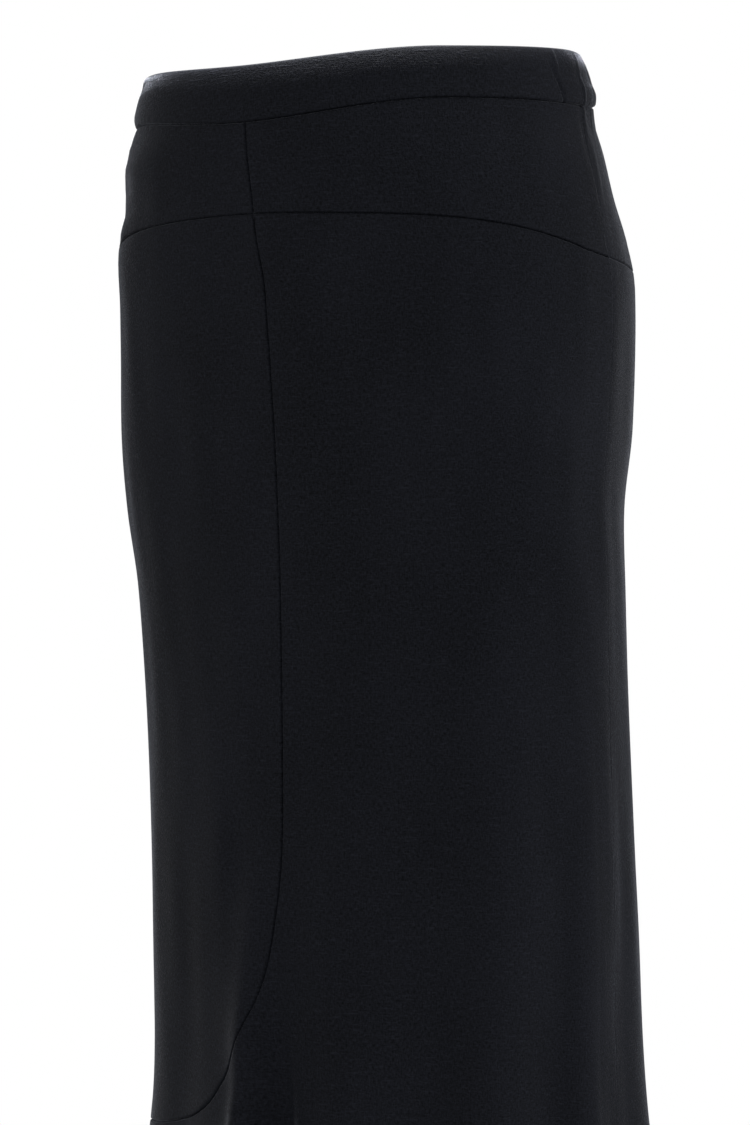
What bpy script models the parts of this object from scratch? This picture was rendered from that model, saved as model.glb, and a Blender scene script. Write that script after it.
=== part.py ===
"""Tiered maxi skirt in the hollow form that it has when it is worn.

The skirt hangs from its waistband.  The origin is the middle of the waist
ring, half way up the band.  The front faces -Y, the wearer's left is +X and
+Z is up.  Each cut piece is one closed wall of cloth.

Every place on the cloth is given by two numbers: an angle round the body, 0
at the centre front and growing towards the wearer's left, and a drop below
the level of the waist seam at the sides, in millimetres.
"""

import math
from collections import namedtuple

import bmesh
import bpy
from mathutils import Vector

MM = 0.001

# Lengths, in millimetres
TOTAL_LENGTH = 960.0       # top of the waistband to the hem, at the sides
BAND_HEIGHT = 30.0
BAND_WALL = 3.0            # the band is folded double over its seam allowances
CLOTH_WALL = 1.6
SEAM_GAP = 0.3             # between the edges of two sewn pieces
WAIST_SEAM_Z = -BAND_HEIGHT / 2
HEM_DROP = TOTAL_LENGTH - BAND_HEIGHT

# Seams, angles in degrees
SIDE_SEAM = 99.0           # the side seams lie a little behind the hips
FRONT_DIP = 9.2            # the waist seam is this much lower at the centre front
TOP_DIP = 5.5              # and so is the top of the waistband
DIP_REACH = 52.0
BACK_RISE = 5.0            # the elastic lifts the waist seam behind the hips
BACK_RISE_START = 98.0
BACK_RISE_REACH = 35.0
TOP_RISE = 3.5             # and the top of the waistband, from its front on
TOP_RISE_START = 50.0
TOP_RISE_REACH = 70.0

# Form of the waistband
BAND_PROUD = 2.6           # its foot stands this far out from the yoke
BAND_LEAN = 6.0            # and its top edge lies this far inside its foot

# Gathers that the elastic draws in behind the side seams
GATHERS = 30
GATHER_DEPTH = 1.1
GATHER_FADE = 55.0         # how far down the yoke they run out
COLUMNS_PER_GATHER = 4

# Level sections of the filled skirt: from the middle to one side, from the
# waist's middle to the front and to the back, and how far behind the waist's
# middle the section is widest.
Section = namedtuple("Section", "drop half_width front back widest_at")
SECTIONS = (
    Section(-45, 151, 117, 92, -8),
    Section(0, 153, 114, 96.5, -6),
    Section(25, 161, 115, 110, -13),
    Section(50, 166, 107.5, 116, -11),
    Section(75, 172, 104, 131, -15),
    Section(105, 175.5, 95.5, 138, -13.5),
    Section(182, 174, 87, 141.5, -19),
    Section(230, 171, 84, 131.5, -17),
    Section(278, 169.5, 81.5, 126.5, -6),
    Section(374, 167.5, 78, 130, 3.5),
    Section(470, 166.5, 78.5, 141, 8),
    Section(604, 166.5, 80, 156, 10),
    Section(740, 183, 102, 179, 14),
    Section(HEM_DROP, 214, 140, 216, 20),
)

# The yoke seam falls from the centre front to the back
SeamPoint = namedtuple("SeamPoint", "angle drop")
YOKE_SEAM = (
    SeamPoint(-180, 94),
    SeamPoint(-130, 91),
    SeamPoint(-99, 83),
    SeamPoint(-49, 65.5),
    SeamPoint(-25, 61.8),
    SeamPoint(0, 61.3),
    SeamPoint(20, 63.5),
    SeamPoint(35, 65.6),
    SeamPoint(50, 68.7),
    SeamPoint(65, 73.9),
    SeamPoint(80, 80.5),
    SeamPoint(99, 88),
    SeamPoint(130, 93),
    SeamPoint(180, 94),
)

# The seam between the right front panel and the lower tier.  It leaves the
# centre front at the knee and turns towards the right side seam.
TIER_SEAM = (
    SeamPoint(0, 420),
    SeamPoint(-1.4, 459),
    SeamPoint(-3.0, 489),
    SeamPoint(-6.6, 513),
    SeamPoint(-12.2, 537),
    SeamPoint(-15.5, 558),
    SeamPoint(-18.8, 574),
    SeamPoint(-23.5, 585),
    SeamPoint(-34, 596),
    SeamPoint(-52, 603),
    SeamPoint(-SIDE_SEAM, 608),
)
TIER_CORNER = TIER_SEAM[7]  # where the panel's side edge becomes its lower edge
CORNER_FOOT = -24.0        # the angle at the hem below that corner

# Flutes of the flared hem: where each ridge lies, the drop at which it
# starts, and how far it stands out at the hem.
Flute = namedtuple("Flute", "angle start depth")
FLUTES = (
    Flute(-170, 470, 23),
    Flute(-134, 470, 24),
    Flute(-98, 460, 22),
    Flute(-58, 540, 24),
    Flute(-16, 500, 24),
    Flute(14, 380, 21),
    Flute(53, 360, 23),
    Flute(85, 300, 22),
    Flute(118, 440, 25),
    Flute(154, 470, 22),
)
FLUTE_GROWTH = 1.7         # the flutes open faster towards the hem

# Faces along and across the pieces
ROWS_ON_CENTRE = 7         # yoke to knee
ROWS_ON_CURVE = 8          # knee to the corner of the tier seam
ROWS_ON_TIER = 9           # tier seam to hem
LEFT_COLUMNS = 26
RIGHT_COLUMNS = 16
BACK_COLUMNS = 32
GATHERED_COLUMNS = GATHERS * COLUMNS_PER_GATHER
BAND_COLUMNS = 36
YOKE_ROWS = 4
BAND_ROWS = 3


def smooth_step(value):
    """0 below 0, 1 above 1, and a soft rise between them."""
    value = min(1.0, max(0.0, value))
    return value * value * (3 - 2 * value)


def turned(angle):
    """The same angle between -180 and 180."""
    return (angle + 180) % 360 - 180


def read_curve(rows, key, column, at):
    """A column of a table as a smooth curve, read where its key is at."""
    keys = [getattr(row, key) for row in rows]
    values = [getattr(row, column) for row in rows]
    at = min(max(at, keys[0]), keys[-1])
    last = len(rows) - 1
    i = next(n for n in range(last) if at <= keys[n + 1])

    def slope(n):
        before, after = max(n - 1, 0), min(n + 1, last)
        return (values[after] - values[before]) / (keys[after] - keys[before])

    step = keys[i + 1] - keys[i]
    t = (at - keys[i]) / step
    return (
        values[i] * (1 + 2 * t) * (1 - t) ** 2
        + values[i + 1] * t * t * (3 - 2 * t)
        + slope(i) * step * t * (1 - t) ** 2
        - slope(i + 1) * step * t * t * (1 - t)
    )


# Seams that run round the body: the drop at each angle

def dip(angle, depth):
    return depth * (1 - smooth_step(abs(turned(angle)) / DIP_REACH))


def rise(angle, height, start, reach):
    return height * smooth_step((abs(turned(angle)) - start) / reach)


def waist_drop(angle):
    return dip(angle, FRONT_DIP) - rise(angle, BACK_RISE, BACK_RISE_START, BACK_RISE_REACH)


def band_top_drop(angle):
    rises = rise(angle, TOP_RISE, TOP_RISE_START, TOP_RISE_REACH)
    return dip(angle, TOP_DIP) - rises - BAND_HEIGHT


def yoke_drop(angle):
    return read_curve(YOKE_SEAM, "angle", "drop", turned(angle))


def hem_drop(angle):
    return HEM_DROP


# Form of the cloth

def flute(angle, drop):
    """How far the flutes push the cloth out, or in where it is negative."""
    turn = turned(angle)
    if turn < FLUTES[0].angle:
        turn += 360
    ridges = FLUTES + (FLUTES[0]._replace(angle=FLUTES[0].angle + 360),)
    i = next(n for n in range(len(FLUTES)) if turn <= ridges[n + 1].angle)
    phase = (turn - ridges[i].angle) / (ridges[i + 1].angle - ridges[i].angle)

    def size(ridge):
        opened = max(0.0, (drop - ridge.start) / (HEM_DROP - ridge.start))
        return ridge.depth * opened ** FLUTE_GROWTH

    share = smooth_step(phase)
    mixed = size(ridges[i]) * (1 - share) + size(ridges[i + 1]) * share
    return mixed * math.cos(2 * math.pi * phase)


def gather(angle, drop):
    """Ripple of the gathers, which fades down the yoke and to the side seams."""
    along = (angle % 360 - SIDE_SEAM) / (360 - 2 * SIDE_SEAM)
    if not 0 < along < 1:
        return 0.0
    fade = 1 - smooth_step((drop - waist_drop(angle)) / GATHER_FADE)
    ends = smooth_step(min(along, 1 - along) * GATHERS / 2)
    return GATHER_DEPTH * fade * ends * math.sin(2 * math.pi * GATHERS * along)


def band(angle, drop):
    """The band's outer face, which stands proud of its seam and leans in above."""
    up = (waist_drop(angle) - drop) / (waist_drop(angle) - band_top_drop(angle))
    return BAND_PROUD - BAND_LEAN * up ** 2 if up > 0 else 0.0


def outer_point(angle, drop):
    """A point of the cloth's outer face, in millimetres."""
    turn = math.radians(angle)
    width = read_curve(SECTIONS, "drop", "half_width", drop)
    middle = read_curve(SECTIONS, "drop", "widest_at", drop)
    if math.cos(turn) > 0:
        depth = read_curve(SECTIONS, "drop", "front", drop) + middle
    else:
        depth = read_curve(SECTIONS, "drop", "back", drop) - middle
    level = Vector((width * math.sin(turn), middle - depth * math.cos(turn), 0))
    outward = Vector((math.sin(turn) / width, -math.cos(turn) / depth, 0)).normalized()
    push = flute(angle, drop) + gather(angle, drop) + band(angle, drop)
    return level + outward * push + Vector((0, 0, WAIST_SEAM_Z - drop))


def outward_at(angle, drop):
    """Direction straight out of the cloth, and level on the waistband."""
    turn, fall = 0.05, 0.1
    across = outer_point(angle + turn, drop) - outer_point(angle - turn, drop)
    down = outer_point(angle, drop + fall) - outer_point(angle, drop - fall)
    outward = down.cross(across)
    if drop < waist_drop(angle):
        outward.z = 0
    return outward.normalized()


def millimetres_per_degree(angle, drop):
    return (outer_point(angle + 0.5, drop) - outer_point(angle - 0.5, drop)).length


# Edges of the pieces: lists of (angle, drop) places

def beside(angle, drop, side):
    """A place half a seam's gap to one side, 1 or -1, of an upright seam."""
    return angle + side * SEAM_GAP / 2 / millimetres_per_degree(angle, drop), drop


def round_edge(first, last, columns, edge_drop, side):
    """Edge that runs round the body above (-1), below (1) or on (0) a line."""
    places = []
    for n in range(columns + 1):
        angle = first + (last - first) * n / columns
        places.append((angle, edge_drop(angle) + side * SEAM_GAP / 2))
    places[0] = beside(*places[0], 1)
    places[-1] = beside(*places[-1], -1)
    return places


def upright_edge(angle, side, drops):
    """Edge to one side of an upright seam, at each of some drops."""
    return [beside(angle, drop, side) for drop in drops]


def even(start, end, count):
    return [start + (end - start) * n / count for n in range(count + 1)]


def side_drops(angle):
    """Drops down a whole side seam, with a row where the tier seam meets it."""
    meeting = TIER_SEAM[-1].drop
    upper = even(yoke_drop(angle) + SEAM_GAP / 2, meeting, ROWS_ON_CENTRE + ROWS_ON_CURVE)
    return upper + even(meeting, HEM_DROP, ROWS_ON_TIER)[1:]


def front_edge(side):
    """Edge beside the centre-front seam, 1 on its left and -1 on its right.

    Below the knee the seam turns into the tier seam, and the edge follows it
    round to the right side seam.
    """
    top = yoke_drop(0) + SEAM_GAP / 2
    line = [(0.0, drop) for drop in even(top, TIER_SEAM[0].drop, ROWS_ON_CENTRE)[:-1]]
    for drop in even(TIER_SEAM[0].drop, TIER_CORNER.drop, ROWS_ON_CURVE):
        line.append((read_curve(TIER_SEAM, "drop", "angle", drop), drop))
    for angle in even(TIER_CORNER.angle, TIER_SEAM[-1].angle, RIGHT_COLUMNS)[1:]:
        line.append((angle, read_curve(TIER_SEAM[::-1], "angle", "drop", angle)))

    moved = []
    for n, (angle, drop) in enumerate(line):
        before, after = line[max(n - 1, 0)], line[min(n + 1, len(line) - 1)]
        per_degree = millimetres_per_degree(angle, drop)
        along = Vector(((after[0] - before[0]) * per_degree, after[1] - before[1])).normalized()
        step = side * SEAM_GAP / 2
        moved.append((angle + along.y * step / per_degree, drop - along.x * step))
    moved[-1] = beside(-SIDE_SEAM, moved[-1][1], 1)
    return moved


def filled(top, bottom, left, right):
    """Grid of places between four edges that meet at their ends."""
    grid = []
    for j, (west, east) in enumerate(zip(left, right)):
        v = j / (len(left) - 1)
        row = []
        for i, (north, south) in enumerate(zip(top, bottom)):
            u = i / (len(top) - 1)
            row.append(tuple(
                north[k] * (1 - v) + south[k] * v + west[k] * (1 - u) + east[k] * u
                - (top[0][k] * (1 - u) + top[-1][k] * u) * (1 - v)
                - (bottom[0][k] * (1 - u) + bottom[-1][k] * u) * v
                for k in range(2)
            ))
        grid.append(row)
    return grid


# Cut pieces, each as one or two grids of places

def ring_grid(first, last, columns, upper, lower, rows):
    """A piece between two seams that run round the body."""
    top = round_edge(first, last, columns, *upper)
    bottom = round_edge(first, last, columns, *lower)
    left = upright_edge(first, 1, even(top[0][1], bottom[0][1], rows))
    right = upright_edge(last, -1, even(top[-1][1], bottom[-1][1], rows))
    return [filled(top, bottom, left, right)]


def band_grid(first, last, columns):
    return ring_grid(first, last, columns, (band_top_drop, 0), (waist_drop, -1), BAND_ROWS)


def yoke_grid(first, last, columns):
    return ring_grid(first, last, columns, (waist_drop, 1), (yoke_drop, -1), YOKE_ROWS)


def right_panel_grid():
    edge = front_edge(-1)
    rows = ROWS_ON_CENTRE + ROWS_ON_CURVE
    top = round_edge(-SIDE_SEAM, 0, RIGHT_COLUMNS, yoke_drop, 1)
    bottom = edge[: rows - 1: -1]
    left = upright_edge(-SIDE_SEAM, 1, even(top[0][1], bottom[0][1], rows))
    return [filled(top, bottom, left, edge[: rows + 1])]


def left_panel_grids():
    """The left front, and the lower tier that is cut in one with it."""
    edge = front_edge(1)
    rows = ROWS_ON_CENTRE + ROWS_ON_CURVE
    corner, tier_top = edge[rows], edge[: rows - 1: -1]
    below_corner = list(zip(
        even(corner[0], CORNER_FOOT, ROWS_ON_TIER), even(corner[1], HEM_DROP, ROWS_ON_TIER)
    ))
    top = round_edge(0, SIDE_SEAM, LEFT_COLUMNS, yoke_drop, 1)
    hem = round_edge(CORNER_FOOT, SIDE_SEAM, LEFT_COLUMNS, hem_drop, 0)
    hem[0] = below_corner[-1]
    side = upright_edge(SIDE_SEAM, -1, side_drops(SIDE_SEAM))
    upper = filled(top, hem, edge[:rows] + below_corner, side)

    tier_hem = round_edge(-SIDE_SEAM, CORNER_FOOT, RIGHT_COLUMNS, hem_drop, 0)
    tier_hem[-1] = below_corner[-1]
    tier_side = upright_edge(-SIDE_SEAM, 1, even(tier_top[0][1], HEM_DROP, ROWS_ON_TIER))
    return [upper, filled(tier_top, tier_hem, tier_side, below_corner)]


def back_panel_grid():
    first, last = SIDE_SEAM, 360 - SIDE_SEAM
    top = round_edge(first, last, BACK_COLUMNS, yoke_drop, 1)
    hem = round_edge(first, last, BACK_COLUMNS, hem_drop, 0)
    left = upright_edge(first, 1, side_drops(first))
    right = upright_edge(last, -1, side_drops(last))
    return [filled(top, hem, left, right)]


# Solids

def crepe():
    """Near-black matt wool crepe."""
    material = bpy.data.materials.new("wool_crepe")
    material.use_nodes = True
    shader = material.node_tree.nodes["Principled BSDF"]
    shader.inputs["Base Color"].default_value = (0.012, 0.013, 0.016, 1)
    shader.inputs["Roughness"].default_value = 0.9
    shader.inputs["Metallic"].default_value = 0.0
    return material


def cloth_piece(name, grids, wall, material):
    """One closed wall over grids that share the places where they meet."""
    cloth = bmesh.new()
    corners_at = {}

    def corners(place):
        key = (round(place[0], 6), round(place[1], 6))
        if key not in corners_at:
            outer = outer_point(*place)
            inner = outer - outward_at(*place) * wall
            corners_at[key] = cloth.verts.new(outer * MM), cloth.verts.new(inner * MM)
        return corners_at[key]

    for grid in grids:
        for upper, lower in zip(grid, grid[1:]):
            for i in range(len(upper) - 1):
                ring = [corners(p) for p in (upper[i], lower[i], lower[i + 1], upper[i + 1])]
                cloth.faces.new([outer for outer, inner in ring])
                cloth.faces.new([inner for outer, inner in reversed(ring)])

    inner_of = dict(corners_at.values())
    rim = [edge for edge in cloth.edges if edge.is_boundary and edge.verts[0] in inner_of]
    for edge in rim:
        corner = edge.link_loops[0]
        start, end = corner.vert, corner.link_loop_next.vert
        cloth.faces.new((end, start, inner_of[start], inner_of[end]))

    mesh = bpy.data.meshes.new(name)
    cloth.to_mesh(mesh)
    cloth.free()
    mesh.shade_smooth()
    mesh.set_sharp_from_angle(angle=math.radians(50))
    mesh.materials.append(material)
    bpy.context.collection.objects.link(bpy.data.objects.new(name, mesh))


def make_skirt():
    for leftover in list(bpy.data.objects):
        bpy.data.objects.remove(leftover, do_unlink=True)
    cloth = crepe()
    back_end = 360 - SIDE_SEAM
    front_band = band_grid(-SIDE_SEAM, SIDE_SEAM, BAND_COLUMNS)
    back_band = band_grid(SIDE_SEAM, back_end, GATHERED_COLUMNS)
    cloth_piece("waistband_front", front_band, BAND_WALL, cloth)
    cloth_piece("waistband_back", back_band, BAND_WALL, cloth)
    cloth_piece("yoke_front_right", yoke_grid(-SIDE_SEAM, 0, RIGHT_COLUMNS), CLOTH_WALL, cloth)
    cloth_piece("yoke_front_left", yoke_grid(0, SIDE_SEAM, RIGHT_COLUMNS), CLOTH_WALL, cloth)
    cloth_piece("yoke_back", yoke_grid(SIDE_SEAM, back_end, GATHERED_COLUMNS), CLOTH_WALL, cloth)
    cloth_piece("front_right_panel", right_panel_grid(), CLOTH_WALL, cloth)
    cloth_piece("front_left_panel", left_panel_grids(), CLOTH_WALL, cloth)
    cloth_piece("back_panel", back_panel_grid(), CLOTH_WALL, cloth)


make_skirt()
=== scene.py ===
"""Tiered maxi skirt in near-black wool crepe, in the hollow form that it has when worn.

The front faces -Y, the wearer's left is +X and the waist is at the origin.  A
place on the cloth is an angle round the body, 0 at the centre front and
growing to the wearer's left, and a drop in millimetres below the waist seam.
"""

import math
from collections import namedtuple

import bmesh
import bpy
import numpy as np
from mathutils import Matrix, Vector, kdtree


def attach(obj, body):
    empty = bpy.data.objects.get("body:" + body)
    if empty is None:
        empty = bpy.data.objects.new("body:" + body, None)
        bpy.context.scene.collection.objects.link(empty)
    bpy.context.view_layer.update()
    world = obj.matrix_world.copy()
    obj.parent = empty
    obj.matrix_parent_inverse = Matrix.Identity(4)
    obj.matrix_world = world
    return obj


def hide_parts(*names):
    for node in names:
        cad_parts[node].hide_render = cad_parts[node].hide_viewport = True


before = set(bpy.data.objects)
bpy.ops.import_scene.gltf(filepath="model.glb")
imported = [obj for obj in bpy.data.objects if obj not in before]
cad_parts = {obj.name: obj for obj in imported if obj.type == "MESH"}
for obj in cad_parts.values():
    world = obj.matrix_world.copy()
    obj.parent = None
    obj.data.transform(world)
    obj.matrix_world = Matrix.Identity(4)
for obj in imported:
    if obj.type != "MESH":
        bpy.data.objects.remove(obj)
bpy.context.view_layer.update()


# ---------------------------------------------------------------------------
# WAISTBAND, FRONT
# A strip of crepe folded double, so that its top is a soft roll.  It is plain,
# and the elastic in the back half drags a few creases into its ends, where the
# two are sewn together.

MM = 0.001
TURN = 360.0
SIDE_SEAM = 99.0            # degrees round from the centre front
WAIST_SEAM_Z = -15.0

BAND_HEIGHT = 30.0
BAND_PROUD = 1.2
BAND_LEAN = 4.0
TOP_ROLL = 2.8
ROLL_START = 0.25           # the share of its height where the roll begins
FOOT_ROUND = 3.0

# The waist seam dips at the front and rises at the back, and the band's top
# dips and rises less.  Starts and reaches are degrees round.
FRONT_DIP = 9.2
TOP_DIP = 5.5
DIP_REACH = 52.0
BACK_RISE = 5.0
BACK_RISE_START = 98.0
BACK_RISE_REACH = 35.0
TOP_RISE = 3.5
TOP_RISE_START = 50.0
TOP_RISE_REACH = 70.0

# The skirt at levels down from the waist seam: half its width, how far it
# reaches to the front and to the back, and how far back it is widest.
Section = namedtuple("Section", "drop half_width front back widest_at")
SECTIONS = (
    Section(-45, 151, 117, 92, -8),
    Section(0, 153, 114, 96.5, -6),
    Section(25, 161, 115, 110, -13),
    Section(50, 166, 107.5, 116, -11),
    Section(75, 172, 104, 131, -15),
    Section(105, 175.5, 95.5, 138, -13.5),
    Section(182, 174, 87, 141.5, -19),
    Section(230, 171, 84, 131.5, -17),
    Section(278, 169.5, 81.5, 126.5, -6),
    Section(374, 167.5, 78, 130, 3.5),
    Section(470, 166.5, 78.5, 141, 8),
    Section(604, 166.5, 80, 156, 10),
    Section(740, 183, 102, 179, 14),
    Section(930, 214, 140, 216, 20),
)
HEM_DROP = 930.0

# How the flare falls into flutes: ridge angle, the drop where it starts, and
# how far it stands out at the hem.
Flute = namedtuple("Flute", "angle start depth")
FLUTES = (
    Flute(-170, 470, 23),
    Flute(-134, 470, 24),
    Flute(-98, 460, 22),
    Flute(-58, 540, 24),
    Flute(-16, 500, 24),
    Flute(14, 380, 21),
    Flute(53, 360, 23),
    Flute(85, 300, 22),
    Flute(118, 440, 25),
    Flute(154, 470, 22),
)
FLUTE_GROWTH = 1.7


def smooth_step(value):
    value = np.clip(value, 0.0, 1.0)
    return value * value * (3 - 2 * value)


def turned(angle):
    """The same angle, brought to between -180 and 180."""
    return (np.asarray(angle, float) + 180) % TURN - 180


def read_curve(rows, key, column, at):
    """A column of a table as a smooth curve, read where its key is at."""
    keys = np.array([getattr(row, key) for row in rows], float)
    values = np.array([getattr(row, column) for row in rows], float)
    slopes = np.empty(len(keys))
    slopes[1:-1] = (values[2:] - values[:-2]) / (keys[2:] - keys[:-2])
    slopes[0] = (values[1] - values[0]) / (keys[1] - keys[0])
    slopes[-1] = (values[-1] - values[-2]) / (keys[-1] - keys[-2])
    at = np.clip(np.asarray(at, float), keys[0], keys[-1])
    i = np.clip(np.searchsorted(keys, at, side="right") - 1, 0, len(keys) - 2)
    step = keys[i + 1] - keys[i]
    t = (at - keys[i]) / step
    return (
        values[i] * (1 + 2 * t) * (1 - t) ** 2
        + values[i + 1] * t * t * (3 - 2 * t)
        + slopes[i] * step * t * (1 - t) ** 2
        - slopes[i + 1] * step * t * t * (1 - t)
    )


def dip(angle, depth):
    return depth * (1 - smooth_step(abs(turned(angle)) / DIP_REACH))


def rise(angle, height, start, reach):
    return height * smooth_step((abs(turned(angle)) - start) / reach)


def waist_drop(angle):
    return dip(angle, FRONT_DIP) - rise(angle, BACK_RISE, BACK_RISE_START, BACK_RISE_REACH)


def band_top_drop(angle):
    rises = rise(angle, TOP_RISE, TOP_RISE_START, TOP_RISE_REACH)
    return dip(angle, TOP_DIP) - rises - BAND_HEIGHT


def hem_drop(angle):
    return np.full(np.shape(angle), HEM_DROP)


def flute(angle, drop):
    """How far the flutes push the cloth out, or in where it is negative."""
    ridges = FLUTES + (FLUTES[0]._replace(angle=FLUTES[0].angle + TURN),)
    bearings = np.array([ridge.angle for ridge in ridges], float)
    turn = turned(angle)
    turn = np.where(turn < bearings[0], turn + TURN, turn)
    i = np.clip(np.searchsorted(bearings, turn, side="right") - 1, 0, len(FLUTES) - 1)
    phase = (turn - bearings[i]) / (bearings[i + 1] - bearings[i])

    def size(place):
        start = np.array([ridge.start for ridge in ridges], float)[place]
        depth = np.array([ridge.depth for ridge in ridges], float)[place]
        return depth * np.clip((drop - start) / (HEM_DROP - start), 0, None) ** FLUTE_GROWTH

    share = smooth_step(phase)
    return (size(i) * (1 - share) + size(i + 1) * share) * np.cos(2 * math.pi * phase)


# The elastic's gathers, uneven in place and depth as elastic leaves them.  The
# rates of their ripples are in radians along the whole elastic.
Ripple = namedtuple("Ripple", "size rate start")
GATHERS = 30
GATHER_DEPTH = 1.1
GATHERS_TO_FULL = 10        # how many it takes from a side seam to their full depth
GATHER_FADE = 55.0
GATHER_WANDER = (Ripple(0.16, 71, 1.0), Ripple(0.10, 163, 2.0))
GATHER_UNEVEN = (Ripple(0.30, 97, 0.5), Ripple(0.18, 211, 0.0))
GATHER_CRIMP = Ripple(0.25, 4 * math.pi * GATHERS, 1.1)     # twice as many, and finer
STRAIGHT_ABOVE = 33.0       # they run straight this far above the seam, then wander


def rippled(along, *ripples):
    return sum(ripple.size * np.sin(ripple.rate * along + ripple.start) for ripple in ripples)


def gather(angle, drop):
    along = (np.asarray(angle, float) % TURN - SIDE_SEAM) / (TURN - 2 * SIDE_SEAM)
    inside = (along > 0) & (along < 1)
    along = np.clip(along, 0, 1)
    below = (drop - waist_drop(angle)) / GATHER_FADE
    fade = 1 - smooth_step(below)
    ends = smooth_step(np.minimum(along, 1 - along) * GATHERS / GATHERS_TO_FULL)
    down = np.clip(below + STRAIGHT_ABOVE / GATHER_FADE, 0, None)
    wander = rippled(along, *GATHER_WANDER) * down
    wave = (1 + rippled(along, *GATHER_UNEVEN)) * np.sin(2 * math.pi * GATHERS * along + wander)
    crimp = rippled(along, GATHER_CRIMP) * fade
    return np.where(inside, GATHER_DEPTH * fade * ends * (wave + crimp), 0.0)


def band(angle, drop):
    """The band stands proud of its seam, leans in above it and rolls in at its top."""
    up = (waist_drop(angle) - drop) / (waist_drop(angle) - band_top_drop(angle))
    over = np.clip(up, 0, 1)
    roll = TOP_ROLL * np.clip((over - ROLL_START) / (1 - ROLL_START), 0, 1) ** 2
    foot = 1 - (1 - np.clip(over * BAND_HEIGHT / FOOT_ROUND, 0, 1)) ** 2
    return np.where(up > 0, BAND_PROUD * foot - BAND_LEAN * over ** 2 - roll, 0.0)


# Creases listed one by one.  Each runs from one place to another, is so wide to
# either side, and stands proud where its height is above 0.  The band's last
# four are broad swells at its sides, one of which goes on into the yokes.
Crease = namedtuple("Crease", "angle drop to_angle to_drop width height to_height")
HIP_SWELL = Crease(112.0, -14, 112.0, 8, 45.0, 1.6, 0.8)
BAND_CREASES = (
    Crease(84.4, -22, 88.8, 0, 0.9, -0.8, -2.4),
    Crease(87.4, -31, 86.8, -17, 1.6, 0.9, 0.5),
    Crease(101.6, -31, 98.6, -16, 1.6, 0.6, 0.6),
    Crease(98.6, -18, 100.4, 0, 1.6, 0.6, 0.6),
    Crease(-84.6, -24, -87.6, 0, 1.3, -0.8, -2.4),
    Crease(-88.0, -31, -88.8, -12, 1.6, 0.8, 0.5),
    Crease(-100.6, -31, -99.2, 0, 1.6, 0.8, 0.5),
    Crease(112.0, -36, 112.0, -4, 45.0, 1.8, 1.4),
    HIP_SWELL,
    Crease(-66.0, -22, -66.0, -3, 40.0, 0.4, 2.0),
    Crease(-62.0, -36, -64.0, -24, 30.0, 2.6, 0.6),
)
CREASE_RUN_OUT = 0.15       # how far past its ends a crease goes on, as a share of it
CREASE_FADE = 0.4           # and the share over which it fades out there


def spread_at(angle, drop):
    """Millimetres of cloth for each degree round the body."""
    turn = np.radians(angle)
    width = read_curve(SECTIONS, "drop", "half_width", drop)
    return np.radians(1) * np.hypot(width * np.cos(turn), reach_at(angle, drop) * np.sin(turn))


def creased(angle, drop, creases):
    """How far some creases push the cloth out, or in where it is negative."""
    push = np.zeros(np.shape(angle))
    for crease in creases:
        along = (drop - crease.drop) / (crease.to_drop - crease.drop)
        on = np.clip(along, 0, 1)
        centre = crease.angle + (crease.to_angle - crease.angle) * on
        across = turned(angle - centre) * spread_at(centre, drop) / crease.width
        height = crease.height + (crease.to_height - crease.height) * on
        starts = smooth_step((along + CREASE_RUN_OUT) / CREASE_FADE)
        ends = smooth_step((1 + CREASE_RUN_OUT - along) / CREASE_FADE)
        push += height * starts * ends * np.exp(-across ** 2)
    return push


def reach_at(angle, drop):
    """From the widest level of a section to its front, or to its back."""
    middle = read_curve(SECTIONS, "drop", "widest_at", drop)
    front = read_curve(SECTIONS, "drop", "front", drop) + middle
    back = read_curve(SECTIONS, "drop", "back", drop) - middle
    return np.where(np.cos(np.radians(angle)) > 0, front, back)


def cloth_point(angle, drop, push):
    """A point of the cloth's outer face in millimetres, pushed straight out."""
    turn = np.radians(angle)
    width = read_curve(SECTIONS, "drop", "half_width", drop)
    middle = read_curve(SECTIONS, "drop", "widest_at", drop)
    reach = reach_at(angle, drop)
    out = np.stack([np.sin(turn) / width, -np.cos(turn) / reach, 0 * turn], -1)
    out /= np.linalg.norm(out, axis=-1, keepdims=True)
    level = np.stack(
        [width * np.sin(turn), middle - reach * np.cos(turn), WAIST_SEAM_Z - drop], -1
    )
    return level + out * (flute(angle, drop) + push)[..., None]


# The centre-front seam hangs a few millimetres to the wearer's left
CentreShift = namedtuple("CentreShift", "drop angle")
CENTRE_SHIFTS = (
    CentreShift(-45, 1.0),
    CentreShift(0, 1.0),
    CentreShift(24, 1.9),
    CentreShift(48, 0.9),
    CentreShift(80, 1.0),
    CentreShift(130, 0.5),
    CentreShift(260, 0.5),
    CentreShift(400, 0.0),
    CentreShift(930, 0.0),
)
SHIFT_REACH = 28.0


def settled(angle, drop):
    """Angles as the cloth hangs, with its centre seam off the middle."""
    shift = read_curve(CENTRE_SHIFTS, "drop", "angle", drop)
    return angle + shift * np.exp(-(turned(angle) / SHIFT_REACH) ** 2)


def nearest_seam(angle, drop, seams):
    """Millimetres from each place to the nearest seam, and how deep that seam is."""
    points = np.concatenate([cloth_point(*line, 0 * line[0]) for line, depth in seams])
    depths = np.concatenate([0 * line[0] + depth for line, depth in seams])
    tree = kdtree.KDTree(len(points))
    for i, point in enumerate(points):
        tree.insert(point, i)
    tree.balance()
    places = cloth_point(angle, drop, 0 * angle).reshape(-1, 3)
    found = [tree.find(place)[1:] for place in places]
    seam, gap = np.array(found).T
    return gap.reshape(angle.shape), depths[seam.astype(int)].reshape(angle.shape)


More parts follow.
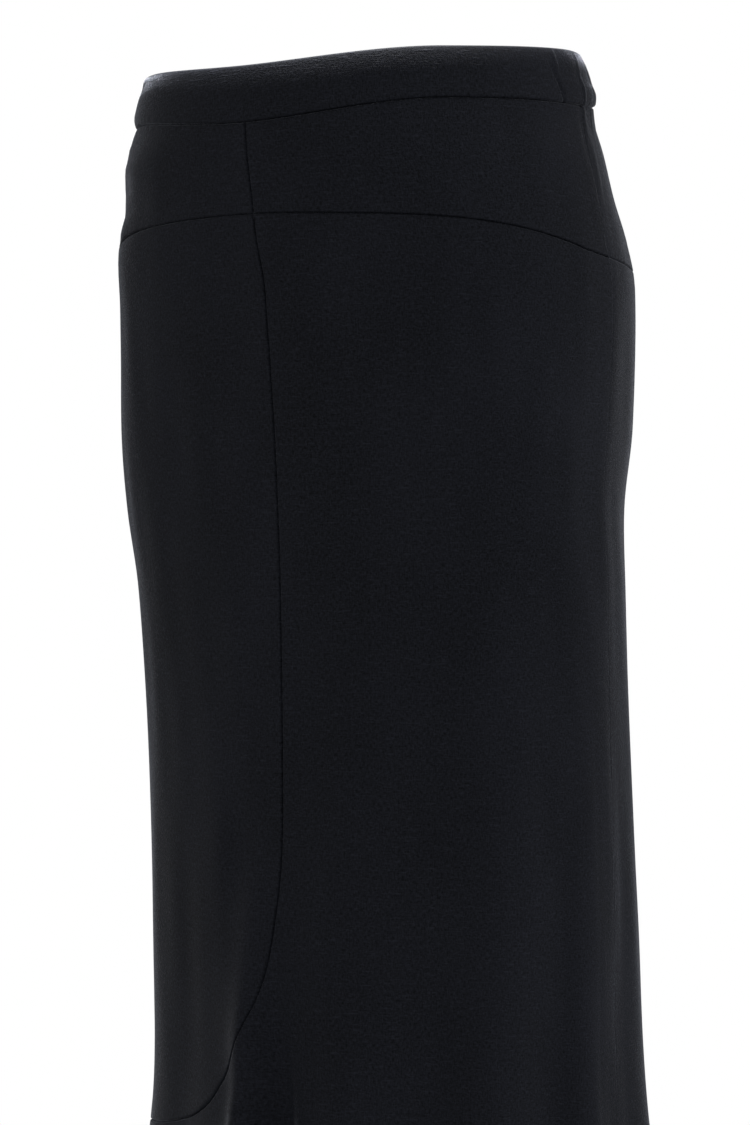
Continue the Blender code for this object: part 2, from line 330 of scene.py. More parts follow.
# At a seam both pieces turn in, with their allowances pressed open behind it
# and a faint pucker along the stitches.
SEAM_TURN = 0.9
SEAM_CURVE = 1.7
SEAM_DEPTH = 1.8
BACK_SEAM_DEPTH = 0.8       # the gathers fill the seams at the back
SIDE_SEAM_DEPTH = 0.06      # and the side seams are pressed flat
EDGE = 0.15                 # half of what is left open down the front seam
CLOSE_EDGE = 0.03           # and at the other seams
ALLOWANCE = 9.0
ALLOWANCE_SWELL = 0.16
ALLOWANCE_EASE = 6.0
PUCKER = 0.08
PUCKER_REACH = 3.6
PUCKER_RATE = 0.83          # its waves, in radians to a millimetre of seam
PUCKER_WANDER = Ripple(1.4, 0.19, 0.0)      # and how these drift along the seam


def sewn(angle, drop, gap, depth):
    turn = 1 - np.clip((gap - EDGE) / SEAM_TURN, 0, 1)
    along = drop + angle * spread_at(angle, drop)
    pucker = np.sin(PUCKER_RATE * along + rippled(along, PUCKER_WANDER))
    pucker *= PUCKER * np.exp(-(gap / PUCKER_REACH) ** 2)
    swell = 1 - smooth_step((gap - ALLOWANCE) / ALLOWANCE_EASE + 0.5)
    return pucker + ALLOWANCE_SWELL * swell - depth * turn ** SEAM_CURVE


# The slight waves of cloth that hangs freely: how far they stand out, how many
# go round the body, and the drop over which they shift round by a radian
Slack = namedtuple("Slack", "size count drop start")
SLACK = (
    Slack(0.30, 7.3, 96, 0.6),
    Slack(0.21, 12.1, -61, 2.2),
    Slack(0.12, 23.7, 43, 0.0),
    Slack(0.09, 31.0, -27, 1.9),
)
SLACK_START = 8.0
SLACK_TO_FULL = 120.0


def hung_slack(angle, drop):
    turn = np.radians(turned(angle))
    waves = [
        wave.size * np.sin(wave.count * turn + drop / wave.drop + wave.start) for wave in SLACK
    ]
    return sum(waves) * smooth_step((drop - SLACK_START) / SLACK_TO_FULL)


# How many millimetres from a seam the rows of points stand beside it
BESIDE_SEAM = (0, 0.05, 0.15, 0.3, 0.5, 0.8, 1.2, 1.9, 3.2)


def shares(length, step, crowded_start=True, crowded_end=True):
    """Shares of a length from 0 to 1, which crowd together beside a seam."""
    close = np.array(BESIDE_SEAM)
    start = close if crowded_start else close[:1]
    end = length - (close if crowded_end else close[:1])[::-1]
    count = max(2, round((end[0] - start[-1]) / step))
    middle = np.linspace(start[-1], end[0], count + 1)[1:-1]
    return np.concatenate([start, middle, end]) / length


def edge_at(angle):
    """How far a piece stops short of an upright seam."""
    return EDGE if angle == 0 else CLOSE_EDGE


def ring(first, last, upper, lower, across, down):
    """Places between two seams that run round the body, as angles and drops."""
    first = first + edge_at(first) / spread_at(first, 0.0)
    last = last - edge_at(last) / spread_at(last, 0.0)
    angle = first + (last - first) * across[None, :] + 0 * down[:, None]
    top, bottom = upper(angle) + CLOSE_EDGE, lower(angle) - CLOSE_EDGE
    return angle, top + (bottom - top) * down[:, None]


HALF_CIRCLE = (25, 50, 75, 100, 130, 155, 180)      # rows round a fold, in degrees
FOLD_STEP = 5.0             # millimetres between the rows behind a fold


def folded(angle, drop, radius, depth, upward=False):
    """Carries a grid over its last row in a half circle and back behind itself.

    Gives angles, drops and how far each place is set in.  The fold is at the
    last row, and at the first where the cloth turns over upward.
    """
    side = -1 if upward else 1
    if upward:
        angle, drop = angle[::-1], drop[::-1]
    bend = np.radians(HALF_CIRCLE)[:, None]
    back = np.linspace(0, 1, max(3, round(depth / FOLD_STEP)))[1:, None]
    last = drop[-1:]
    drops = [drop, last + side * radius * np.sin(bend), last - side * depth * back]
    inset = [0 * drop, radius * (1 - np.cos(bend)) + 0 * last, 2 * radius + 0 * back + 0 * last]
    drops, inset = np.concatenate(drops), np.concatenate(inset)
    angles = np.concatenate([angle, np.repeat(angle[-1:], len(drops) - len(drop), 0)])
    if upward:
        return angles[::-1], drops[::-1], inset[::-1]
    return angles, drops, inset


CLOTH_THICKNESS = 1.1
WEAVE_RADIUS = 165.0        # at this radius the weave is neither wide nor narrow
SAME_PLACE = 0.005          # points closer than this are made one


def cloth_shell(name, grids, seams, creases, extra=None):
    """One cut piece as a thin shell over its solid's outer face.

    Its cloth map runs across from the middle of the front or the back, and
    down from the waist seam, in metres of cloth.
    """
    cloth = bmesh.new()
    weave = cloth.loops.layers.uv.new("cloth")
    flat = {}
    for angle, drop, inset in grids:
        gap, depth = nearest_seam(angle, drop, seams)
        push = gather(angle, drop) + band(angle, drop) + creased(angle, drop, creases)
        push += hung_slack(angle, drop)
        if extra:
            push += extra(angle, drop)
        push += np.where(inset > 0, 0, sewn(angle, drop, gap, depth)) - inset
        points = cloth_point(settled(angle, drop), drop, push) * MM
        rows, columns = angle.shape
        made = bmesh.ops.create_grid(
            cloth, x_segments=columns - 1, y_segments=rows - 1, size=1.0
        )["verts"]
        middle = TURN / 2 if angle.mean() > SIDE_SEAM else 0.0
        for vert in made:
            i = round((vert.co.x + 1) / 2 * (columns - 1))
            j = round((1 - vert.co.y) / 2 * (rows - 1))
            vert.co = points[j, i]
            width = math.radians(angle[j, i] - middle) * WEAVE_RADIUS
            flat[vert] = (width * MM, (drop[j, i] + 2 * inset[j, i]) * MM)
    for face in cloth.faces:
        for loop in face.loops:
            loop[weave].uv = flat[loop.vert]
    bmesh.ops.remove_doubles(cloth, verts=cloth.verts, dist=SAME_PLACE * MM)
    mesh = bpy.data.meshes.new(name)
    cloth.to_mesh(mesh)
    cloth.free()
    mesh.shade_smooth()
    piece = bpy.data.objects.new(name, mesh)
    bpy.context.collection.objects.link(piece)
    wall = piece.modifiers.new("cloth", "SOLIDIFY")
    wall.thickness = CLOTH_THICKNESS * MM
    wall.offset = -1
    return piece


def colour(code):
    """A hex colour as the linear values that a shader takes."""
    parts = [int(code[i:i + 2], 16) / 255 for i in (1, 3, 5)]
    linear = [c / 12.92 if c <= 0.04045 else ((c + 0.055) / 1.055) ** 2.4 for c in parts]
    return (*linear, 1)


def add_node(tree, kind, settings=(), **inputs):
    """A shader node, with inputs by name, or by number after an underscore."""
    node = tree.nodes.new(kind)
    for key, value in dict(settings).items():
        setattr(node, key, value)
    for key, value in inputs.items():
        socket = node.inputs[int(key[1:]) if key[0] == "_" else key.replace("_", " ")]
        if isinstance(value, bpy.types.NodeSocket):
            tree.links.new(value, socket)
        else:
            socket.default_value = value
    return node


YARN = 0.5                  # from one yarn to the next, in millimetres
DRAWN_COARSER = 1.8
WARP_CRINKLE = 2.6          # how long a yarn's crinkles are
WEFT_CRINKLE = 2.4
SLUB = (12.0, 1.3)          # how long and how high a slub is
WEAR = (70.0, 110.0)        # and a patch where the cloth is a little paler
RELIEF = 0.35               # how far its yarns stand out
HOLLOW_SHADE = "#080a0d"          # painted shade, darker between the yarns
YARN_TOP_TONE = "#262830"          # on their tops, out of the painted shade
BLOOM = "#c5c9d6"           # and where light grazes the fibres


def wool_crepe():
    """Matt wool crepe, woven from tightly twisted yarns that crinkle.

    That gives it a dry, pebbled face with no shine, and a faint bloom where
    light grazes its fibres.  A real crepe has some 20 yarns to the centimetre.
    They are drawn at about half that count, because finer ones are lost at the
    size it is seen.
    """
    material = bpy.data.materials.new("wool_crepe")
    material.use_nodes = True
    tree = material.node_tree
    tree.nodes.clear()
    place = add_node(tree, "ShaderNodeUVMap", {"uv_map": "cloth"}).outputs["UV"]

    def yarns(wide, high, detail, rough):
        """Noise whose grain is so many millimetres wide and high."""
        spot = add_node(
            tree, "ShaderNodeVectorMath", {"operation": "MULTIPLY"},
            _0=place, _1=(1 / (wide * MM), 1 / (high * MM), 1),
        ).outputs[0]
        return add_node(
            tree, "ShaderNodeTexNoise", {"noise_dimensions": "2D"},
            Vector=spot, Scale=1.0, Detail=detail, Roughness=rough,
        ).outputs["Fac"]

    def sum_of(first, second, share):
        """First plus a share of second."""
        return add_node(
            tree, "ShaderNodeMath", {"operation": "MULTIPLY_ADD"},
            _0=second, _1=share, _2=first,
        ).outputs[0]

    yarn = YARN * DRAWN_COARSER
    warp = yarns(yarn, WARP_CRINKLE, 2.0, 0.6)
    weft = yarns(WEFT_CRINKLE, yarn, 2.0, 0.6)
    slub = yarns(*SLUB, 1.0, 0.5)
    worn = yarns(*WEAR, 2.0, 0.5)
    grain = sum_of(warp, weft, 1.0)
    thick = add_node(
        tree, "ShaderNodeMapRange", Value=slub, From_Min=0.62, From_Max=0.78
    ).outputs["Result"]
    height = sum_of(grain, thick, 0.55)
    bump = add_node(
        tree, "ShaderNodeBump", Strength=0.55, Distance=RELIEF * MM, Height=height
    ).outputs["Normal"]

    # The colour darkens where the yarns dip and lightens on their tops and slubs, which is
    # painted shade in the weave's hollows; the broad paler patches are the cloth's own tone.
    shade_and_tone = sum_of(sum_of(grain, thick, 0.25), worn, 0.35)
    share = add_node(
        tree, "ShaderNodeMapRange", Value=shade_and_tone, From_Min=0.75, From_Max=1.6
    ).outputs["Result"]
    base = add_node(
        tree, "ShaderNodeMix", {"data_type": "RGBA"},
        _0=share, _6=colour(HOLLOW_SHADE), _7=colour(YARN_TOP_TONE),
    ).outputs[2]
    shader = add_node(
        tree, "ShaderNodeBsdfPrincipled",
        Base_Color=base, Normal=bump, Roughness=0.82, Metallic=0.0,
        Specular_IOR_Level=0.12, Sheen_Weight=0.7, Sheen_Roughness=0.19,
        Sheen_Tint=colour(BLOOM),
    ).outputs["BSDF"]
    add_node(tree, "ShaderNodeOutputMaterial", Surface=shader)
    return material


crepe = wool_crepe()


def cloth_piece(piece, node):
    """Gives a cut piece its cloth and its place in the frame."""
    piece.data.materials.append(crepe)
    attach(piece, "root")
    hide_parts(node)


POINTS_ROUND = 3600         # along a seam that runs right round the body
POINTS_PER_MM = 3           # and along an upright one


def seam_round(drop_at):
    """A seam that runs right round the body, and its depth all along."""
    angle = np.linspace(-180, 180, POINTS_ROUND)
    depth = np.where(abs(angle) > SIDE_SEAM, BACK_SEAM_DEPTH, SEAM_DEPTH)
    return (angle, drop_at(angle)), depth


def side_seams(upper, lower):
    """Both side seams between two drops."""
    drop = np.linspace(upper, lower, round((lower - upper) * POINTS_PER_MM))
    both = np.concatenate([drop, drop])
    side = np.where(np.arange(len(both)) < len(drop), -SIDE_SEAM, SIDE_SEAM)
    return (side, both), SIDE_SEAM_DEPTH


# The girth and fall of each piece are rough, and only space its points.
FRONT_GIRTH = 520.0
BAND_ROW = 2.5
FRONT_STEP = 1.2
ROLL_RADIUS = 1.4
INNER_SHORT = 4.0           # the layer inside stops this far above the seam


def under_roll(angle):
    return band_top_drop(angle) + ROLL_RADIUS


def band_grid(first, last, across):
    """Outer face of the band, which turns over at its top and back down inside."""
    down = shares(BAND_HEIGHT, BAND_ROW, crowded_start=False)
    angle, drop = ring(first, last, under_roll, waist_drop, across, down)
    return folded(angle, drop, ROLL_RADIUS, BAND_HEIGHT - INNER_SHORT, upward=True)


front_band = cloth_shell(
    "front_waistband",
    [band_grid(-SIDE_SEAM, SIDE_SEAM, shares(FRONT_GIRTH, FRONT_STEP))],
    [seam_round(waist_drop), side_seams(-BAND_HEIGHT, 0)],
    BAND_CREASES,
)
cloth_piece(front_band, "waistband_front")


# ---------------------------------------------------------------------------
# WAISTBAND, BACK
# The rear half of the band, of the same folded crepe.  It is cut longer and
# gathered on an elastic 25 mm wide, sewn into the side seams at both ends.

BACK_GIRTH = 360.0
BACK_STEP = 0.95
PINCH = 0.5                 # how much more the elastic gathers the band's middle


def pinched(angle, drop):
    """The elastic draws the gathers deeper halfway up the band."""
    up = np.clip((waist_drop(angle) - drop) / BAND_HEIGHT, 0, 1)
    return PINCH * gather(angle, 0 * drop) * np.sin(math.pi * up)


back_band = cloth_shell(
    "back_waistband",
    [band_grid(SIDE_SEAM, TURN - SIDE_SEAM, shares(BACK_GIRTH, BACK_STEP))],
    [seam_round(waist_drop), side_seams(-BAND_HEIGHT, 0)],
    BAND_CREASES,
    pinched,
)
cloth_piece(back_band, "waistband_back")


# ---------------------------------------------------------------------------
# YOKE, FRONT
# Two pieces of crepe that hang smooth from the waist seam over the hips and
# are sewn together at the centre front.  Their lower edge drops to the sides.

YokeSeam = namedtuple("YokeSeam", "angle drop")
YOKE_SEAM = (
    YokeSeam(-180, 94),
    YokeSeam(-130, 91),
    YokeSeam(-99, 83),
    YokeSeam(-49, 65.5),
    YokeSeam(-25, 61.8),
    YokeSeam(0, 61.3),
    YokeSeam(20, 63.5),
    YokeSeam(35, 65.6),
    YokeSeam(50, 68.7),
    YokeSeam(65, 73.9),
    YokeSeam(80, 80.5),
    YokeSeam(99, 88),
    YokeSeam(130, 93),
    YokeSeam(180, 94),
)
CENTRE_FOOT = 70.0          # just below where the centre seam leaves the yokes
SIDE_FOOT = 95.0            # and where the side seams do
YOKE_FALL = 80.0
YOKE_ROW = 4.0
YOKE_STEP = 1.8

# The swell over the left hip, and the short creases that the elastic drags
# into the yokes at both side seams
HIP_CREASES = (
    HIP_SWELL,
    Crease(99.8, -2, 101.6, 18, 2.0, 0.6, 0.3),
    Crease(107.4, -2, 108.4, 18, 2.0, 0.6, 0.3),
    Crease(97.4, 4, 98.8, 36, 2.6, -0.4, -0.2),
    Crease(103.5, 22, 101.5, 50, 3.4, 0.4, 0.3),
    Crease(-100.2, -2, -101.6, 30, 1.8, 0.7, 0.4),
    Crease(-97.6, 4, -98.8, 50, 2.0, -0.6, -0.3),
    Crease(-107.6, -2, -108.0, 20, 1.8, 0.6, 0.3),
)
# Then a slight wave down the right hip, and two swells beside the middle
YOKE_CREASES = HIP_CREASES + (
    Crease(-54.0, 1, -54.0, 17, 16.0, 1.2, 1.2),
    Crease(-54.0, 27, -54.0, 42, 16.0, -1.2, -1.2),
    Crease(-54.0, 54, -54.0, 66, 16.0, 1.2, 1.2),
    Crease(30.0, 6, 34.0, 60, 12.0, 0.2, 0.4),
    Crease(-28.0, 8, -33.0, 60, 11.0, 0.2, 0.3),
)


def yoke_drop(angle):
    return read_curve(YOKE_SEAM, "angle", "drop", turned(angle))


def centre_seam(lower):
    """The centre-front seam from the waist down to a drop."""
    drop = np.linspace(0.0, lower, round(lower * POINTS_PER_MM))
    return (0 * drop, drop), SEAM_DEPTH


def yoke_shell(name, first, last, across, creases):
    down = shares(YOKE_FALL, YOKE_ROW)
    angle, drop = ring(first, last, waist_drop, yoke_drop, across, down)
    seams = [
        seam_round(waist_drop), seam_round(yoke_drop),
        centre_seam(CENTRE_FOOT), side_seams(0, SIDE_FOOT),
    ]
    return cloth_shell(name, [(angle, drop, 0 * drop)], seams, creases)


across = shares(FRONT_GIRTH / 2, YOKE_STEP)
right_yoke = yoke_shell("right_front_yoke", -SIDE_SEAM, 0.0, across, YOKE_CREASES)
cloth_piece(
    right_yoke, "yoke_front_right"
)
left_yoke = yoke_shell("left_front_yoke", 0.0, SIDE_SEAM, across, YOKE_CREASES)
cloth_piece(
    left_yoke, "yoke_front_left"
)


# ---------------------------------------------------------------------------
# YOKE, BACK
# One piece of crepe, cut wider than the waist.  It is gathered where it is
# sewn to the elastic half of the band, and almost smooth at its foot.

BACK_YOKE_GIRTH = 400.0
BACK_YOKE_STEP = 1.15

BACK_YOKE_CREASES = HIP_CREASES + (
    Crease(119.0, 6, 121.0, 60, 4.0, -0.4, -0.1),
    Crease(131.0, 4, 129.0, 74, 5.0, 0.7, 0.2),
    Crease(147.0, 4, 150.0, 66, 4.0, -0.7, -0.2),
    Crease(163.0, 4, 161.0, 78, 5.0, 0.8, 0.3),
    Crease(178.0, 4, 180.0, 60, 4.0, -0.6, -0.1),
    Crease(-166.0, 4, -163.0, 74, 5.0, 0.8, 0.3),
    Crease(-149.0, 4, -151.0, 58, 4.0, -0.7, -0.1),
    Crease(-133.0, 4, -130.0, 76, 5.0, 0.7, 0.3),
    Crease(-118.0, 4, -120.0, 56, 4.0, -0.4, -0.1),
)
across = shares(BACK_YOKE_GIRTH, BACK_YOKE_STEP)
back_yoke = yoke_shell(
    "back_yoke", SIDE_SEAM, TURN - SIDE_SEAM, across, BACK_YOKE_CREASES
)
cloth_piece(back_yoke, "yoke_back")


# ---------------------------------------------------------------------------
# FRONT PANEL, RIGHT
# One layer of crepe that hangs from the yoke to below the knee.  Its edge runs
# down the centre front, then curves away to the right side seam, and the lower
# tier is sewn on along the curve.

Place = namedtuple("Place", "angle drop")
TIER_SEAM = (
    Place(0.0, 420),
    Place(-0.8, 459),
    Place(-2.8, 492),
    Place(-5.8, 517),
    Place(-8.9, 536),
    Place(-13.0, 556),
    Place(-17.5, 571),
    Place(-23.5, 586),
    Place(-34.0, 597),
    Place(-52.0, 604),
    Place(-99.0, 608),
)
TIER_CORNER = TIER_SEAM[7]  # where the seam turns level
SIDE_HEAD = 60.0            # above the place where the side seams leave the yokes
PANEL_GIRTH = 250.0
PANEL_STEP = 4.0
PANEL_ROW = 6.0
CORNER_FALL = 520.0         # from the yoke down to the corner

# The creases near the left side seam, the deep fold that starts below the
# knee, and the others of both front panels, which cross the seam between them
LEFT_SIDE_CREASES = (
    Crease(97.0, 120, 98.0, 280, 18.0, 1.4, 1.4),
    Crease(106.0, 270, 106.0, 540, 20.0, -2.2, -2.4),
    Crease(88.0, 320, 86.0, 700, 9.0, -1.0, -2.0),
    Crease(100.0, 520, 102.0, 760, 14.0, 1.5, 5.0),
)
KNEE_FOLD = (
    Crease(-6.5, 445, -9.0, 560, 19.0, 4.0, 5.0),
    Crease(-8.2, 535, -12.0, 925, 13.5, 16.5, 9.0),
    Crease(-3.0, 540, -3.6, 925, 13.0, -17.0, -8.0),
    Crease(8.0, 545, 8.0, 925, 36.0, -4.5, -2.0),
)
FRONT_CREASES = LEFT_SIDE_CREASES + KNEE_FOLD + (
    Crease(-19.0, 400, -16.0, 560, 12.0, 0.6, 1.8),
    Crease(15.5, 110, 15.5, 700, 22.0, 0.4, 1.8),
    Crease(38.0, 140, 35.0, 900, 20.0, -0.5, -2.4),
    Crease(56.0, 200, 54.0, 800, 20.0, 0.4, 1.8),
    Crease(76.0, 180, 71.0, 900, 13.0, -0.5, -2.4),
    Crease(-30.0, 260, -31.0, 620, 14.0, -0.3, -1.6),
    Crease(-38.0, 640, -39.0, 925, 14.0, -1.5, -5.0),
    Crease(-47.0, 220, -50.0, 600, 18.0, 0.4, 1.6),
    Crease(-60.0, 630, -62.0, 925, 14.0, 1.0, 4.0),
    Crease(-68.0, 180, -70.0, 590, 16.0, -0.5, -1.5),
    Crease(-80.0, 630, -78.0, 925, 14.0, -1.0, -5.0),
    Crease(-86.0, 150, -86.0, 590, 14.0, 0.5, 1.6),
)

# How many points the front seam has down to the curve, to the corner and on
CENTRE_POINTS = 1000
CURVE_POINTS = 600
TIER_POINTS = 800


def front_seam(side):
    """The seam down the centre front and round to the right side seam.

    It is moved by half the gap, to the wearer's left where side is 1 and to
    their right where it is -1.
    """
    down = np.linspace(yoke_drop(0.0), TIER_SEAM[0].drop, CENTRE_POINTS)[:-1]
    knee = np.linspace(TIER_SEAM[0].drop, TIER_CORNER.drop, CURVE_POINTS)
    level = np.linspace(TIER_CORNER.angle, TIER_SEAM[-1].angle, TIER_POINTS)[1:]
    bend = read_curve(TIER_SEAM, "drop", "angle", knee)
    angle = np.concatenate([0 * down, bend, level])
    drop = np.concatenate([down, knee, read_curve(TIER_SEAM[::-1], "angle", "drop", level)])
    scale = spread_at(angle, drop)
    across, fall = np.gradient(angle) * scale, np.gradient(drop)
    step = side * EDGE / np.hypot(across, fall)
    return angle + step * fall / scale, drop - step * across


def walked(angle, drop, share):
    """Places at shares of a line's length."""
    across = np.diff(angle) * spread_at(angle, drop)[1:]
    length = np.concatenate([[0], np.cumsum(np.hypot(across, np.diff(drop)))])
    at = share * length[-1]
    return np.stack([np.interp(at, length, angle), np.interp(at, length, drop)], -1)


def to_corner(side):
    """The front seam in two parts, down to the corner and on from it."""
    angle, drop = front_seam(side)
    corner = CENTRE_POINTS + CURVE_POINTS - 2
    return (angle[:corner + 1], drop[:corner + 1]), (angle[corner:], drop[corner:])


def upright(angle, side, upper, lower, share):
    """Places beside a side seam between two drops."""
    drop = upper + (lower - upper) * share
    return np.stack([angle + side * CLOSE_EDGE / spread_at(angle, drop), drop], -1)


def filled(top, bottom, left, right, across, down):
    """Angles and drops between four edges that meet at their ends."""
    u, v = across[None, :, None], down[:, None, None]
    grid = (
        top[None] * (1 - v) + bottom[None] * v + left[:, None] * (1 - u) + right[:, None] * u
        - (top[0] * (1 - u) + top[-1] * u) * (1 - v)
        - (bottom[0] * (1 - u) + bottom[-1] * u) * v
    )
    return grid[..., 0], grid[..., 1]


def level_edge(first, last, drop_at, share):
    """Places along a seam or hem that runs round the body."""
    angle = first + (last - first) * share
    return np.stack([angle, drop_at(angle)], -1)


def below_yoke(angle):
    return yoke_drop(angle) + CLOSE_EDGE


def panel_seams():
    front = front_seam(0), SEAM_DEPTH
    return [seam_round(yoke_drop), front, side_seams(SIDE_HEAD, HEM_DROP)]


across = shares(PANEL_GIRTH, PANEL_STEP)
down = shares(CORNER_FALL, PANEL_ROW)
centre, tier = to_corner(-1)
right_edge = walked(*centre, down)
lower_edge = walked(*tier, 1 - across)
side_edge = upright(-SIDE_SEAM, 1, below_yoke(-SIDE_SEAM), lower_edge[0, 1], down)
upper_edge = level_edge(-SIDE_SEAM, 0.0, below_yoke, across)
angle, drop = filled(upper_edge, lower_edge, side_edge, right_edge, across, down)
right_panel = cloth_shell(
    "right_front_panel", [(angle, drop, 0 * drop)], panel_seams(), FRONT_CREASES
)
cloth_piece(
    right_panel, "front_right_panel"
)


# ---------------------------------------------------------------------------
# FRONT PANEL, LEFT, WITH THE LOWER TIER
# Hangs from the yoke to the hem.  Below the right panel it runs on round to
# the right side seam, cut in one, as a flared tier that falls into flutes.
# The hem is turned up once and blind stitched.

CORNER_FOOT = -24.0         # the angle at the hem straight below the corner
HEM_TURN = 24.0
HEM_RADIUS = 1.3
HEM_PROUD = 0.25
HEM_EASE = 4.0
STITCH_DENT = 0.15
STITCH_REACH = 1.3
HEM_STEP = 2.8
LEFT_GIRTH = 300.0
TIER_GIRTH = 240.0
TIER_FALL = 330.0


def hemmed(angle, drop):
    """Carries a panel round its hem and up behind itself."""
    return folded(angle, drop, HEM_RADIUS, HEM_TURN)


def hem_swell(angle, drop):
    """The hem's second layer stands a little proud up to its stitches."""
    past = HEM_DROP - drop - HEM_TURN
    layer = 1 - smooth_step(past / HEM_EASE + 0.5)
    return HEM_PROUD * layer - STITCH_DENT * np.exp(-(past / STITCH_REACH) ** 2)


def hem_edge(angle):
    return hem_drop(angle) - HEM_RADIUS


centre, tier = to_corner(1)
on_seam = shares(CORNER_FALL, PANEL_ROW, crowded_end=False)
on_tier = shares(TIER_FALL, PANEL_ROW, crowded_end=False)
split = CORNER_FALL / (CORNER_FALL + TIER_FALL)
down = np.concatenate([on_seam * split, split + (1 - split) * on_tier[1:]])
across = shares(LEFT_GIRTH, HEM_STEP)
corner = walked(*centre, np.array([1.0]))[0]
foot = np.array([CORNER_FOOT, hem_edge(0.0)])
below_corner = corner + (foot - corner) * on_tier[:, None]
left_edge = np.concatenate([walked(*centre, on_seam), below_corner[1:]])
side_edge = upright(SIDE_SEAM, -1, below_yoke(SIDE_SEAM), hem_edge(0.0), down)
upper_edge = level_edge(0.0, SIDE_SEAM, below_yoke, across)
lower_edge = level_edge(CORNER_FOOT, SIDE_SEAM, hem_edge, across)
front = filled(upper_edge, lower_edge, left_edge, side_edge, across, down)

across = shares(TIER_GIRTH, HEM_STEP, crowded_end=False)
upper_edge = walked(*tier, 1 - across)
side_edge = upright(-SIDE_SEAM, 1, upper_edge[0, 1], hem_edge(0.0), on_tier)
lower_edge = level_edge(-SIDE_SEAM, CORNER_FOOT, hem_edge, across)
tiered = filled(upper_edge, lower_edge, side_edge, below_corner, across, on_tier)
left_panel = cloth_shell(
    "left_front_panel",
    [hemmed(*front), hemmed(*tiered)],
    panel_seams(),
    FRONT_CREASES,
    hem_swell,
)
cloth_piece(
    left_panel, "front_left_panel",
)


# ---------------------------------------------------------------------------
# BACK PANEL
# One piece of crepe from the back yoke to the hem, sewn to the front panels at
# both sides.  It is flared, so that it falls into flutes.

BACK_PANEL_GIRTH = 500.0
BACK_PANEL_STEP = 4.2
BACK_PANEL_FALL = 840.0
BACK_PANEL_ROW = 6.5

BACK_PANEL_CREASES = LEFT_SIDE_CREASES + (
    Crease(128.0, 300, 127.0, 900, 14.0, 0.4, 3.0),
    Crease(137.0, 200, 135.0, 900, 14.0, -0.8, -3.6),
    Crease(154.0, 160, 155.0, 900, 12.0, 0.8, 3.0),
    Crease(172.0, 220, 172.0, 900, 14.0, -0.8, -3.8),
    Crease(-170.0, 180, -169.0, 900, 12.0, 0.8, 3.2),
    Crease(-152.0, 240, -152.0, 900, 14.0, -0.8, -3.6),
    Crease(-134.0, 160, -134.0, 900, 12.0, 0.8, 3.0),
    Crease(-117.0, 200, -116.0, 900, 13.0, -0.7, -3.4),
    Crease(-105.0, 150, -104.0, 520, 8.0, 0.7, 1.2),
)
across = shares(BACK_PANEL_GIRTH, BACK_PANEL_STEP)
down = shares(BACK_PANEL_FALL, BACK_PANEL_ROW, crowded_end=False)
angle, drop = ring(SIDE_SEAM, TURN - SIDE_SEAM, yoke_drop, hem_edge, across, down)
back_panel = cloth_shell(
    "rear_panel",
    [hemmed(angle, drop)],
    [seam_round(yoke_drop), side_seams(SIDE_HEAD, HEM_DROP)],
    BACK_PANEL_CREASES,
    hem_swell,
)
cloth_piece(back_panel, "back_panel")


# ---------------------------------------------------------------------------
# STUDIO
# A plain pale floor in a white room, with a lamp over the open waist, a large
# soft one at the wearer's left and a weak one low at their right.

FLOOR_Z = -1.03
FLOOR_RADIUS = 2.4
ground = bmesh.new()
bmesh.ops.create_circle(ground, cap_ends=True, segments=96, radius=FLOOR_RADIUS)
bmesh.ops.translate(ground, verts=ground.verts, vec=(0, 0, FLOOR_Z))
ground_mesh = bpy.data.meshes.new("studio_floor")
ground.to_mesh(ground_mesh)
ground.free()
floor = bpy.data.objects.new("studio_floor", ground_mesh)
bpy.context.collection.objects.link(floor)
pale = bpy.data.materials.new("pale_floor")
pale.use_nodes = True
pale_shader = pale.node_tree.nodes["Principled BSDF"]
pale_shader.inputs["Base Color"].default_value = colour("#e6e6e6")
pale_shader.inputs["Roughness"].default_value = 0.8
floor.data.materials.append(pale)

# The camera sees the room white all round.  Its light has its full strength
# straight behind the skirt, and falls off to either side.
CAMERA_TURN = math.radians(40)
BEHIND = (-math.sin(CAMERA_TURN), math.cos(CAMERA_TURN), 0)
GLOW_EDGE = 0.6             # the cosine of the angle at which it's down to DIM
DIM = 0.45
room = bpy.data.worlds.new("white_room")
room.use_nodes = True
nodes = room.node_tree
nodes.nodes.clear()
way = add_node(nodes, "ShaderNodeTexCoord").outputs["Generated"]
toward = add_node(
    nodes, "ShaderNodeVectorMath", {"operation": "DOT_PRODUCT"}, _0=way, _1=BEHIND
).outputs["Value"]
glow = add_node(
    nodes, "ShaderNodeMapRange", {"interpolation_type": "SMOOTHSTEP"},
    Value=toward, From_Min=GLOW_EDGE, From_Max=1.0, To_Min=DIM, To_Max=1.0,
).outputs["Result"]
seen = add_node(nodes, "ShaderNodeLightPath").outputs["Is Camera Ray"]
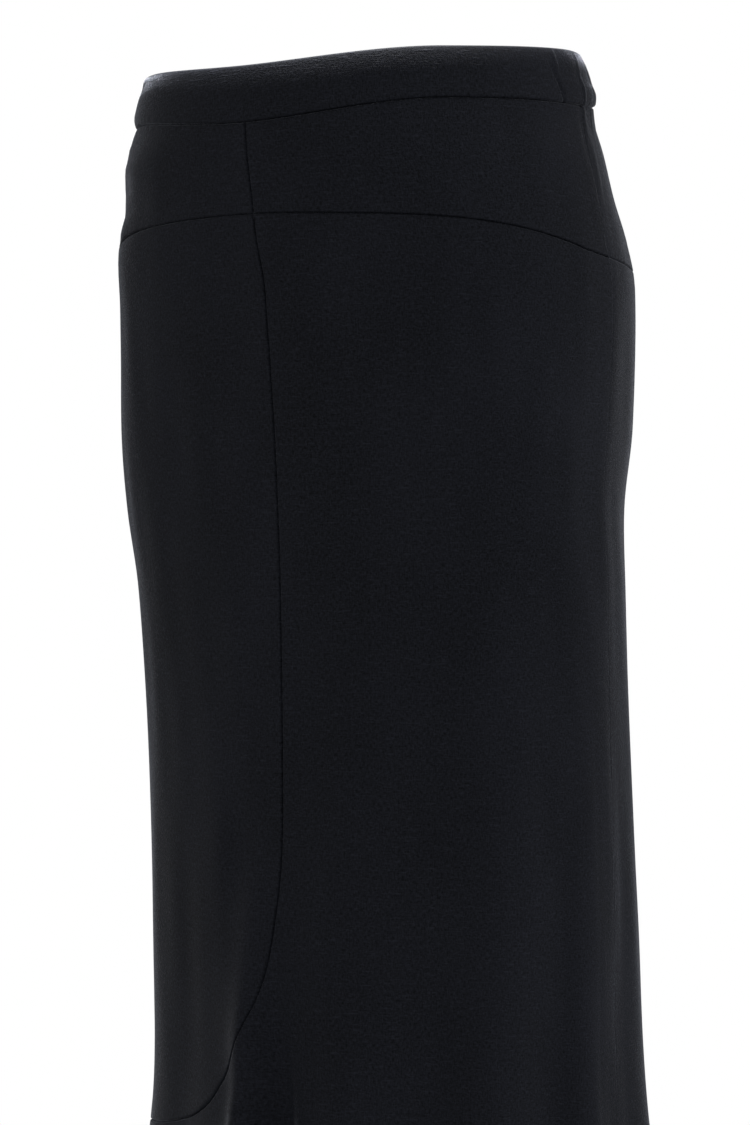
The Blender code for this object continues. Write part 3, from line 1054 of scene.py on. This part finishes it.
strength = add_node(
    nodes, "ShaderNodeMath", {"operation": "MAXIMUM"}, _0=seen, _1=glow
).outputs[0]
shine = add_node(
    nodes, "ShaderNodeBackground", Color=(1, 1, 1, 1), Strength=strength
).outputs["Background"]
add_node(nodes, "ShaderNodeOutputWorld", Surface=shine)
bpy.context.scene.world = room

# Lamps stand at an angle round the body, so many metres from its axis, and are
# named for their side of the picture.  The first lights the band's top roll.
Softbox = namedtuple("Softbox", "name angle away height size spread watts")
SOFTBOXES = (
    Softbox("overhead_softbox", 40, 0.03, 0.34, 0.07, 62, 1.6),
    Softbox("right_softbox", 105, 2.4, 0.0, 1.2, 180, 13),
    Softbox("left_softbox", -95, 2.4, -0.95, 0.5, 36, 0.46),
)
HIGHEST_AIM = -0.2
for box in SOFTBOXES:
    light = bpy.data.lights.new(box.name, "AREA")
    light.shape = "SQUARE"
    light.size = box.size
    light.spread = math.radians(box.spread)
    light.energy = box.watts
    lamp = bpy.data.objects.new(box.name, light)
    turn = math.radians(box.angle)
    lamp.location = (box.away * math.sin(turn), -box.away * math.cos(turn), box.height)
    aim = Vector((0, 0, min(box.height, HIGHEST_AIM))) - lamp.location
    lamp.rotation_euler = aim.to_track_quat("-Z", "Y").to_euler()
    bpy.context.collection.objects.link(lamp)

# The camera stands level, 40 degrees round to the wearer's left
CAMERA_AWAY = 2.3
CAMERA_ASIDE = 0.0042       # to its own right
CAMERA_HEIGHT = -0.2776
eye = bpy.data.objects.new("camera", bpy.data.cameras.new("camera"))
eye.data.lens = 122.98
eye.data.sensor_width = 36
eye.location = (
    CAMERA_AWAY * math.sin(CAMERA_TURN) + CAMERA_ASIDE * math.cos(CAMERA_TURN),
    -CAMERA_AWAY * math.cos(CAMERA_TURN) + CAMERA_ASIDE * math.sin(CAMERA_TURN),
    CAMERA_HEIGHT,
)
eye.rotation_euler = (math.radians(90), 0, CAMERA_TURN)
bpy.context.collection.objects.link(eye)
bpy.context.scene.camera = eye
bpy.context.scene.view_settings.view_transform = "Standard"
bpy.context.view_layer.update()
